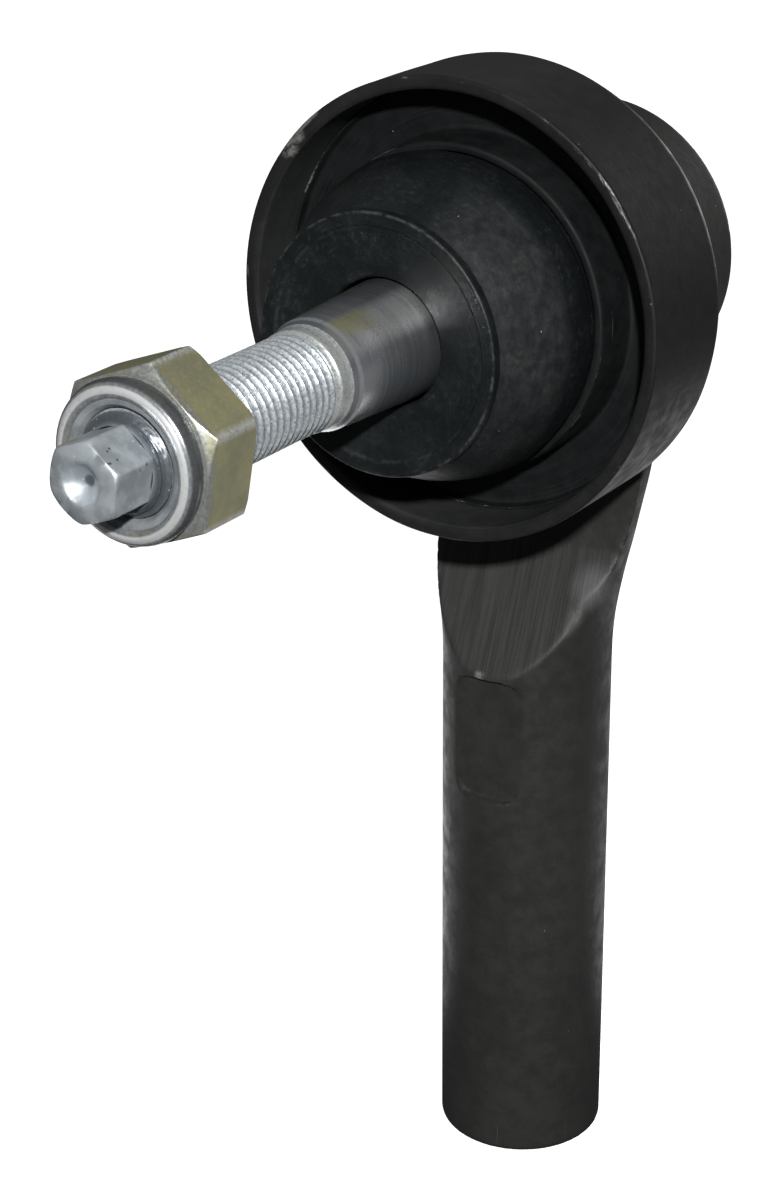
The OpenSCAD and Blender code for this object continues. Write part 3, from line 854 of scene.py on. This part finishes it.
def make_shield():
    wall = 2.15
    out = soften([
        (20.0, 6.0), (SHIELD_R, 6.0, 1.9), (SHIELD_R, SHIELD_S, 0.55),
        (SHIELD_R - wall, SHIELD_S, 0.95), (SHIELD_R - wall, 8.2, 1.6), (20.0, 8.2)],
        closed=True, steps=5)
    dense = [out[0]]
    for p, q in zip(out, out[1:]):
        n = max(1, int(np.linalg.norm(q - p) / 1.4))
        dense += [p + (q - p) * k / n for k in range(1, n + 1)]
    turned_piece("pressed_shield", np.array(dense), 288, wobble(3, 0.07, 0.05),
                 "housing", "shield_paint", PAINT_SHIELD, "dust_shield")


def make_retainer():
    """Pressed ring: back skirt, flat floor with a fillet up to the wall, and a rolled collar."""
    t = 1.5
    wall, floor = KEEP_R, KEEP_S - 8.2
    outline = soften([
        (wall - t, 8.25), (wall, 8.25, 0.2), (wall, floor + 1.7, 0.15), (wall - 0.35, floor + 1.6, 0.3),
        (wall - 0.5, floor, 1.5), (28.5, floor + 0.1), (COLLAR_R + 0.15, floor, 0.7),
        (COLLAR_R, KEEP_S - 0.9), (COLLAR_R - 0.25, KEEP_S, 0.55), (COLLAR_R - t, KEEP_S - 0.05, 0.5),
        (COLLAR_R - t, floor - t, 0.4), (wall - t, floor - t, 0.5)],
        closed=True)
    turned_piece("pressed_retainer", outline, 240, wobble(11, 0.05, 0.05),
                 "housing", "retainer_paint", PAINT_RETAINER, "boot_retainer")


def boot_arc(s, r=BOOT_ARC_R):
    return 24.5 - BOOT_ARC_R + sqrt(r * r - (s - 23.5) ** 2)


def boot_side(s):
    """Outer radius of the boot's dome, a little fuller than the arc."""
    return boot_arc(s) + 0.12 * sin(pi * min(max((s - 29) / 13.2, 0), 1))


def make_boot():
    """The boot in two pieces that meet in a mould line: the lower from the socket to the first hinge,
    and the upper from there to the ring in the lip."""
    inner = BOOT_ARC_R - BOOT_WALL
    foot = [
        (20.6, 10.8, 0.2), (20.8, 12.5, 0.4), (20.6, 14.2, 0.4), (21.7, 16.2, 0.6), (22.5, 18.5, 0.8),
        (22.9, 21.5, 0.8), (22.95, 24.6, 0.9), (23.9, 26.6, 1.4)]
    lower_out = [(boot_side(s), s, 0) for s in np.linspace(28.6, SPLIT_S, 8)]
    lower_in = [(boot_arc(s, inner), s, 0) for s in np.linspace(SPLIT_S, 28.5, 4)]
    foot_in = [
        (21.4, 26, 0.6), (20.9, 23.5, 0.6), (20.6, 20, 0.8), (19.9, 17.2, 0.5), (19.9, 14.2, 0.3),
        (18.3, 14.2, 0.3), (18.3, 10.8, 0.3)]
    b = Build()
    b.lathe(soften(foot + lower_out + lower_in + foot_in, closed=True, guard=0), segs=224)
    lower = b.object("boot_lower")
    top_out = [(boot_side(s), s, 0) for s in np.linspace(SPLIT_S, 42.2, 22)]
    lip = [
        (boot_arc(42.7), 42.75, 0.5), (18.75, 43.05, 0.35), (19.12, 43.6, 0.5), (19.14, BOOT_S, 0.45),
        (17.2, BOOT_S - 0.12, 0.3), (16.8, BOOT_S - 0.45, 0.4), (13.0, BOOT_S - 1.35, 1.2),
        (9.6, BOOT_S - 1.9, 0.35), (9.35, BOOT_S - 2.3, 0.2), (9.35, 39.8, 0.2), (12.7, 39.8, 0.3)]
    top_in = [(boot_arc(s, inner), s, 0) for s in np.linspace(40.3, SPLIT_S, 12)]
    b = Build()
    b.lathe(soften(top_out + lip + top_in, closed=True, guard=0.1), segs=224)
    upper = b.object("boot_upper")
    for obj, pair, span in ((lower, ("housing", "boot"), (24.6, SPLIT_S)),
                            (upper, ("boot", "boot_ring"), (SPLIT_S, 39.6))):
        store_rest(obj)
        settle(obj, None, "boot_rubber", RUBBER)
        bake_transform(obj)
    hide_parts("dust_boot")
    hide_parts("dust_boot")


def store_rest(obj):
    """Keeps each vertex's place at rest, in mm, so that the pattern stays put when the mesh bends."""
    co = np.empty(len(obj.data.vertices) * 3)
    obj.data.vertices.foreach_get("co", co)
    layer = obj.data.attributes.new("rest_mm", "FLOAT_VECTOR", "POINT")
    layer.data.foreach_set("vector", (co / MM).astype(np.float32))


def sector_angles():
    """Angles about a hexagon, close together beside each corner."""
    fine = (0.25, 0.55, 0.9, 1.4, 2.1, 3.2, 5.0, 7.5, 11, 15, 19.5, 24.5)
    out = []
    for k in range(6):
        c = HEX_TURN + 60 * k
        out += [c] + [c + f for f in fine] + [c + 30] + [c + 60 - f for f in reversed(fine)]
    return np.radians(np.array(out))


def hex_radius(a, af, k):
    """Radius of a hexagon af across flats, with corners rounded by k."""
    best = None
    for i in range(6):
        c = np.cos(a - radians(HEX_TURN + 30 + 60 * i))
        flat = np.where(c > 0.2, af / 2 / np.maximum(c, 0.2), 99.0)
        best = flat if best is None else smin(best, flat, k)
    return best


def make_nut():
    a = sector_angles()
    s0, s1 = NUT_S0, NUT_S0 + 9.5
    s = np.concatenate([
        [s0], s0 + np.array([0.08, 0.2, 0.35, 0.5, 0.7, 1.0, 2.0, 3.2, 4.4, 5.6, 6.8, 7.6, 8.0]),
        np.linspace(s0 + 8.15, s1, 20)])
    ss, aa = np.meshgrid(s, a, indexing="ij")
    r = hex_radius(aa, NUT_AF, 0.22)
    r = smin(r, 12.05 + (ss - s0) * 1.6, 0.2)
    r = smin(r, 10.95 + (s1 - ss) * 1.62, 0.12)
    collar = soften([
        (10.62, s1 + 0.02, 0.12), (10.5, s1 + 0.3, 0.2), (10.66, s1 + 0.55, 0.3),
        (10.78, s1 + 1.5, 0.5), (10.5, s1 + 2.35, 0.9), (9.5, s1 + 3.0, 0.8), (8.6, s1 + 2.75, 0.5),
        (8.18, s1 + 2.1, 0.4), (8.18, s1 + 1.0)], guard=0)
    collar_r, collar_s = rows_of(collar, len(a))
    # threaded bore, coarser rows down to the back face
    sb = np.arange(s1 + 0.9, s0 - 0.01, -0.15)
    sb[-1] = s0
    sbb, ab = np.meshgrid(sb, a, indexing="ij")
    bore = THREAD_R - thread_depth(sbb, ab, 0.85) + 0.06
    bore = np.maximum(bore, 6.32)
    bore = np.maximum(bore, 7.65 - (sbb - s0) * 1.1)
    b = Build()
    b.field(np.concatenate([r, collar_r, bore]), np.concatenate([ss, collar_s, sbb]), a,
            wrap_rows=True)
    settle(b.object("hex_nut", 32), "nut", "nut_zinc", NUT, "lock_nut")


def make_insert():
    s = NUT_S0 + 9.9
    outline = soften([
        (8.8, s, 0.1), (8.8, s + 1.95, 0.15), (8.25, s + 2.0, 0.1), (7.6, s + 1.85, 0.3),
        (7.12, s + 1.2, 0.3), (7.08, s, 0.1)],
        closed=True)
    turned_piece("locking_insert", outline, 144, wobble(23, 0.05, 0.05, 1.6),
                 "nut_insert", "insert_polymer", INSERT, "nut_locking_insert")


def make_stud():
    b = Build()
    turns = np.radians(np.linspace(-90, 60.7, 40))
    ball = [(BALL_R * cos(t), BALL_R * sin(t), 0) for t in turns]
    ball[0] = (0, -BALL_R, 0)
    shaft = soften(ball + [
        (6.6, 13.0, 0.8), (6.6, 30, 2.0), (9.22, 35, 1.0), (9.22 - 0.05 * 25.4, 60.4, 0.35),
        (7.75, 61.1, 0.3), (7.35, 62.1, 0.3), (7.22, 62.7, 0.3), (7.2, 64.4, 0.3), (6.7, 64.9, 0.2)])
    b.lathe(shaft, segs=192, closed=False)
    # thread, fading in after the plain band and chamfered at the end
    s = np.arange(64.9, 103.3, 0.1)
    a = np.linspace(0, 2 * pi, 192, endpoint=False)
    ss, aa = np.meshgrid(s, a, indexing="ij")
    depth = thread_depth(ss, aa, 0.9)
    crest = np.full_like(ss, THREAD_R)
    knocks = noise_at(crest, ss, aa, 5, 0.9) * 0.5 + noise_at(crest, ss, aa, 6, 0.35) * 0.5
    r = 7.02 - depth + knocks * 0.035
    fade = np.clip((ss - 64.9) / 0.9, 0, 1)
    r = 6.7 * (1 - fade) + r * fade
    end = THREAD_R - np.clip((ss - 101.9) / 1.1, 0, 1.3) * 0.9
    end = end + knocks * 0.16 * np.clip((ss - 101.6) / 0.8, 0, 1)
    r = np.minimum(r, end)
    b.field(r, ss, a)
    # closing ring under the drive
    b.lathe(np.array([(r[-1].mean(), 103.2), (5.2, 103.35), (5.0, 102.4)]), segs=192, closed=False)
    # hexagon drive with a rounded nose and a centre dimple
    ha = sector_angles()
    hs = np.concatenate([[102.6, 103.4, 104.5, 106, 107.2], np.linspace(107.9, TIP_S - 0.25, 16)])
    hss, haa = np.meshgrid(hs, ha, indexing="ij")
    hexagon = hex_radius(haa, DRIVE_AF, 0.35)
    nose = 4.15 + np.sqrt(np.maximum(0, 1 - (np.clip(hss - (TIP_S - 2.6), 0, 2.6) / 2.6) ** 2)) * 2.0
    side = smin(hexagon, nose, 0.35)
    side = side + noise_at(side, hss, haa, 31, 1.4) * 0.025
    fr, depth = rows_of(np.array([
        (3.85, 0.1), (3.45, 0.02), (3.05, 0), (2.75, 0.08), (2.5, 0.35), (2.1, 0.85), (1.5, 1.35),
        (0.8, 1.75), (0.3, 1.9), (0, 1.92)]), len(ha))
    fs = TIP_S - depth
    dents = noise_at(fr, fs, ha, 41, 0.9)
    fs = fs + dents * np.where((fr > 0.2) & (fr < 3.0), 0.12, 0.02)
    b.field(np.concatenate([side, fr]), np.concatenate([hss, fs]), ha)
    obj = settle(b.object("tapered_stud", 50), "stud", "stud_steel", STUD, "ball_stud")
    obj.data.materials.append(STUD_BARE)
    for face in obj.data.polygons:
        if -face.center.y / MM < GROUND_END:
            face.material_index = 1


def make_cover():
    y0, y1 = cover_lo[1], cover_hi[1]
    outline = soften([
        (2.62, -y0), (19.28, -y0, 0.3), (19.28, -y0 - 0.6, 0.1), (17.8, -y0 - 0.6, 0.1),
        (17.8, -y0 - 2.25, 0.1), (19.28, -y0 - 2.25, 0.1), (19.28, -y0 - 2.7, 0.25),
        (16.2, -y0 - 2.7, 0.4), (15.4, -y0 - 2.2, 0.5), (9.6, -y0 - 2.2, 0.6), (8.6, -y0 - 2.7, 0.6),
        (7.2, -y0 - 2.75, 0.5), (6.2, -y1, 0.5), (3.2, -y1, 0.4), (2.62, -y1 + 0.5)], closed=True)
    turned_piece("stamped_cover", outline, 176, wobble(51, 0.0, 0.03),
                 "housing", "cover_paint", PAINT_COVER, "cover_plate")


def make_snap_ring():
    """Retaining ring: a C in outline, widened into an eye at each end, with rolled edges."""
    y0, y1 = box_mm("cover_snap_ring")[0][1], box_mm("cover_snap_ring")[1][1]
    gap = asin(4.5 / 19)
    n = 150
    t = np.linspace(gap, 2 * pi - gap, n)
    near_end = np.minimum(t - gap, 2 * pi - gap - t)
    inner = 17.75 - 0.9 * np.exp(-((near_end - 0.11) / 0.075) ** 2) + 0.35 * np.cos(t / 2) ** 2
    outer = np.full(n, 20.45)
    b = Build()
    rows = []
    ang = t + pi / 2
    for u, v in ((0, 0.12), (0, 0.88), (0.05, 1), (0.95, 1), (1, 0.88), (1, 0.12), (0.95, 0),
                 (0.05, 0)):
        r = inner + (outer - inner) * u
        y = y0 + (y1 - y0) * v
        rows.append(np.stack([r * np.cos(ang), np.full(n, y), BALL_Z + r * np.sin(ang)], -1))
    b.add(np.stack(rows, 1).reshape(-1, 3), tube_faces(n, len(rows)))
    obj = b.object("retaining_ring")
    holes = []
    for side in (-1, 1):
        c = Build()
        a = np.linspace(0, 2 * pi, 32, endpoint=False)
        at = side * (gap + 0.105) + pi / 2
        cx, cz = 18.55 * cos(at), BALL_Z + 18.55 * sin(at)
        rows = [np.stack([cx + 0.9 * np.cos(a), np.full(32, y), cz + 0.9 * np.sin(a)], -1)
                for y in (y0 - 1, y1 + 1)]
        c.add(np.concatenate(rows), tube_faces(2, 32))
        holes.append(c.object("cutter"))
    cut(obj, holes)
    settle(obj, "housing", "spring_steel", RING_STEEL, "cover_snap_ring")


def make_fitting():
    y0, y1 = fitting_lo[1], fitting_hi[1]
    hex0 = cover_hi[1]
    hex1 = hex0 + 3.5
    a = sector_angles()
    b = Build()
    hs = np.concatenate([hex0 + np.array([0, 0.12, 0.3, 0.6, 1.6, 2.6]),
                         hex1 - np.array([0.5, 0.35, 0.2, 0.08, 0])])
    hss, haa = np.meshgrid(hs, a, indexing="ij")
    hexagon = hex_radius(haa, NIPPLE_AF, 0.15)
    hexagon = smin(hexagon, 4.15 + (hex1 - hss) * 1.7, 0.12)
    hexagon = smin(hexagon, 4.25 + (hss - hex0) * 1.7, 0.12)
    head = soften([
        (3.0, hex1 + 0.02, 0.2), (2.9, hex1 + 0.5, 0.3), (2.15, hex1 + 1.3, 0.5),
        (2.1, y1 - 3.7, 0.4), (3.2, y1 - 2.5, 0.35), (3.2, y1 - 1.75, 0.35), (1.6, y1, 0.3),
        (0.8, y1, 0.15), (0.8, y1 - 1.5), (1.6, y1 - 1.62), (1.6, hex0 + 0.5), (1.0, hex0 + 0.5),
        (1.0, y0)], guard=0.05)
    stem = np.array([(1.0, y0), (2.4, y0), (2.6, y0 + 0.2), (2.6, hex0)])
    parts = [rows_of(stem, len(a)), (hexagon, hss), rows_of(head, len(a))]
    r, y = (np.concatenate(rows) for rows in zip(*parts))
    b.field(r, -y, a)
    settle(b.object("grease_nipple"), "housing", "fitting_zinc", FITTING, "grease_fitting")


def make_coil():
    """The check ball's coil spring."""
    lo, hi = box_mm("fitting_spring")
    turns, n = 5, 160
    t = np.linspace(0, 1, n)
    ang = 2 * pi * turns * t
    y = lo[1] + 0.2 + (hi[1] - lo[1] - 0.4) * np.clip((t - 0.1) / 0.8, 0, 1)
    path = np.stack([1.18 * np.cos(ang), y, BALL_Z + 1.18 * np.sin(ang)], -1)
    side = np.linspace(0, 2 * pi, 10, endpoint=False)
    rad = np.stack([np.cos(ang), np.zeros(n), np.sin(ang)], -1)
    up = np.array([0, 1.0, 0])
    rings = [p + 0.19 * (np.cos(side)[:, None] * r + np.sin(side)[:, None] * up)
             for p, r in zip(path, rad)]
    b = Build()
    b.add(np.concatenate(rings), tube_faces(n, len(side)))
    obj = settle(b.object("check_coil", 60), None, "spring_steel", SPRING)
    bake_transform(obj)
    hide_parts("fitting_spring")


def dress(node, material):
    """A procedural finish on a CAD node whose shape is right."""
    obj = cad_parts[node]
    if not obj.data.materials:
        obj.data.materials.append(material)
    for slot in obj.material_slots:
        slot.link = "OBJECT"
        slot.material = material


# --- finishes
BLACK, BLACK_UP = (0.026, 0.026, 0.0245), (0.034, 0.0338, 0.0318)
# painted highlight: the spot at the facet's lower edge is bare steel standing in for a glint on a small
# burr
PAINT_FORGING = paint(
    "paint_forging", BLACK, BLACK_UP, edges=[(BODY_R, -BODY_Y, 0.9, [(45, 80, 0.6), (200, 60, 0.5)])],
    spots=[((-1.2, -13.5, 87.5), 0.4, 1.3)], grain=1.3, extra=milled_zone)
# the rim and back-edge patches centred at 32 to 68 degrees, on the side towards the key light, are
# painted highlights done as bare steel; the rest are worn paint
PAINT_SHIELD = paint(
    "paint_shield", BLACK, BLACK_UP, edges=[
        (SHIELD_R - 0.3, SHIELD_S, 0.42, [
            (131, 7, 1.0), (34, 12, 0.5), (175, 5, 0.7), (52, 8, 0.5), (230, 12, 0.3)]),
        (SHIELD_R - 0.5, 6.5, 0.75, [(32, 26, 1.0), (68, 8, 0.8), (100, 8, 0.4), (250, 20, 0.5)])],
    spots=[((-26.3, -27.2, 172.4), 0.7, 2.3), ((-24.6, -27.2, 174.2), 0.4, 1.6)],
    grain=0.7, extra=cup_zone)
# painted shade: the retainer's paint is far darker than the other black paint, standing in for the
# shade deep in the cup
PAINT_RETAINER = paint(
    "paint_retainer", (0.0018, 0.0026, 0.003), (0.0042, 0.0056, 0.006), edges=[
        (COLLAR_R, KEEP_S - 0.2, 0.3, [(118, 8, 0.7), (325, 10, 0.6), (12, 8, 0.6), (350, 8, 0.4)]),
        (KEEP_R - 0.2, KEEP_S - 6.6, 0.4, [(150, 12, 0.6), (268, 16, 0.35)])],
    rough=(0.6, 0.75), grain=0.6, extra=ring_zone)
PAINT_COVER = paint(
    "paint_cover", (0.016, 0.016, 0.015), (0.03, 0.03, 0.028), edges=[
        (19.2, -cover_hi[1] + 1.5, 0.8, [(60, 70, 0.6)]), (6.1, -cover_hi[1], 0.7, [(120, 90, 0.8)])])
RUBBER = rubber("boot_black_rubber")
STUD_BARE = bare_steel("stud_ground_steel")
STUD = stud_zinc("stud_zinc_plate")
NUT = nut_metal("nut_khaki_zinc")
INSERT = polymer("insert_grey", (0.14, 0.155, 0.165), (0.24, 0.255, 0.265), (0.5, 0.62))
FITTING = plain_metal("fitting_zinc_plate", (0.38, 0.36, 0.28), (0.6, 0.58, 0.48))
RING_STEEL = plain_metal("ring_dark_steel", (0.1, 0.1, 0.1), (0.2, 0.2, 0.2), (0.3, 0.5))
SPRING = plain_metal("spring_oiled_steel", (0.16, 0.165, 0.17), (0.3, 0.31, 0.32))
BRIGHT = plain_metal("bright_ring_steel", (0.4, 0.41, 0.42), (0.6, 0.61, 0.62))
SEAT = polymer("seat_ivory_polymer", (0.66, 0.63, 0.53), (0.8, 0.78, 0.69))
SEAL = polymer("seal_black_rubber", (0.012, 0.012, 0.012), (0.025, 0.025, 0.025), (0.45, 0.6))

make_housing()
make_shield()
make_retainer()
make_boot()
make_stud()
make_nut()
make_insert()
make_cover()
make_snap_ring()
make_fitting()
make_coil()
for node_name, finish_of in (
        ("boot_base_ring", BRIGHT), ("boot_top_ring", BRIGHT), ("front_bearing", SEAT),
        ("rear_bearing", SEAT), ("pressure_plate", BRIGHT), ("preload_spring", SPRING),
        ("cover_seal", SEAL), ("fitting_check_ball", BRIGHT)):
    dress(node_name, finish_of)


# --- floor and light
def make_stage():
    sh = Shade("studio_floor", Specular_IOR_Level=0.2, Emission_Color=(1, 1, 1), Emission_Strength=1.0)
    pos = sh.position()
    soft = sh.noise(pos, 0.004, 2.0)
    sh.finish(sh.mix(sh.span(soft, 0.3, 0.7), (0.93, 0.93, 0.93), (0.95, 0.95, 0.95)), 0.9)
    me = bpy.data.meshes.new("studio_floor")
    n = 48
    turn = [2 * pi * k / n for k in range(n)]
    rings = [(2.0, 0.0), (2.6, 0.08), (3.0, 0.3), (3.2, 0.7), (3.2, 3.5)]
    co = [(r * cos(t), r * sin(t), h - 0.0004) for r, h in rings for t in turn]
    me.from_pydata(co, [], [tuple(range(n))] + grid_faces(len(rings), n))
    floor = new_object("studio_floor", me)
    me.materials.append(sh.mat)
    floor.visible_diffuse = floor.visible_glossy = False


def area_light(name, place, aim, size, power):
    data = bpy.data.lights.new(name, "AREA")
    data.shape, data.size, data.energy = "DISK", size, power
    obj = new_object(name, data)
    obj.location = place
    obj.rotation_mode = "QUATERNION"
    obj.rotation_quaternion = (Vector(aim) - Vector(place)).to_track_quat("-Z", "Y")
    obj.visible_camera = False


def around(centre, azimuth, elevation, distance):
    """A place at a direction from centre: azimuth 0 is towards -Y and 90 towards +X."""
    a, e = radians(azimuth), radians(elevation)
    step = Vector((sin(a) * cos(e), -cos(a) * cos(e), sin(e)))
    return Vector(centre) + distance * step


def make_light():
    world = bpy.data.worlds.new("studio_air")
    bpy.context.scene.world = world
    world.use_nodes = True
    air = world.node_tree.nodes["Background"].inputs
    air[0].default_value, air[1].default_value = (0.93, 0.96, 1.0, 1), 0.075
    neck = (0, -0.004, 0.103)
    area_light("key", around(neck, 32, 29, 0.6), neck, 0.026, 3.8)
    for name, azimuth, power in (("left", -112, 0.11), ("right", 176, 0.09), ("back", -150, 0.2)):
        spot = around((0, 0, 0.002), azimuth, 0, 0.16)
        area_light("floor_glow_" + name, spot, spot + Vector((0, 0, 1)), 0.24, power)
    area_light("fill_back", around(neck, 180, 5, 1.3), neck, 0.5, 2.5)


make_stage()
make_light()
view = bpy.context.scene.view_settings
view.view_transform, view.look = "Standard", "None"
view.exposure, view.gamma = 0.0, 1.0
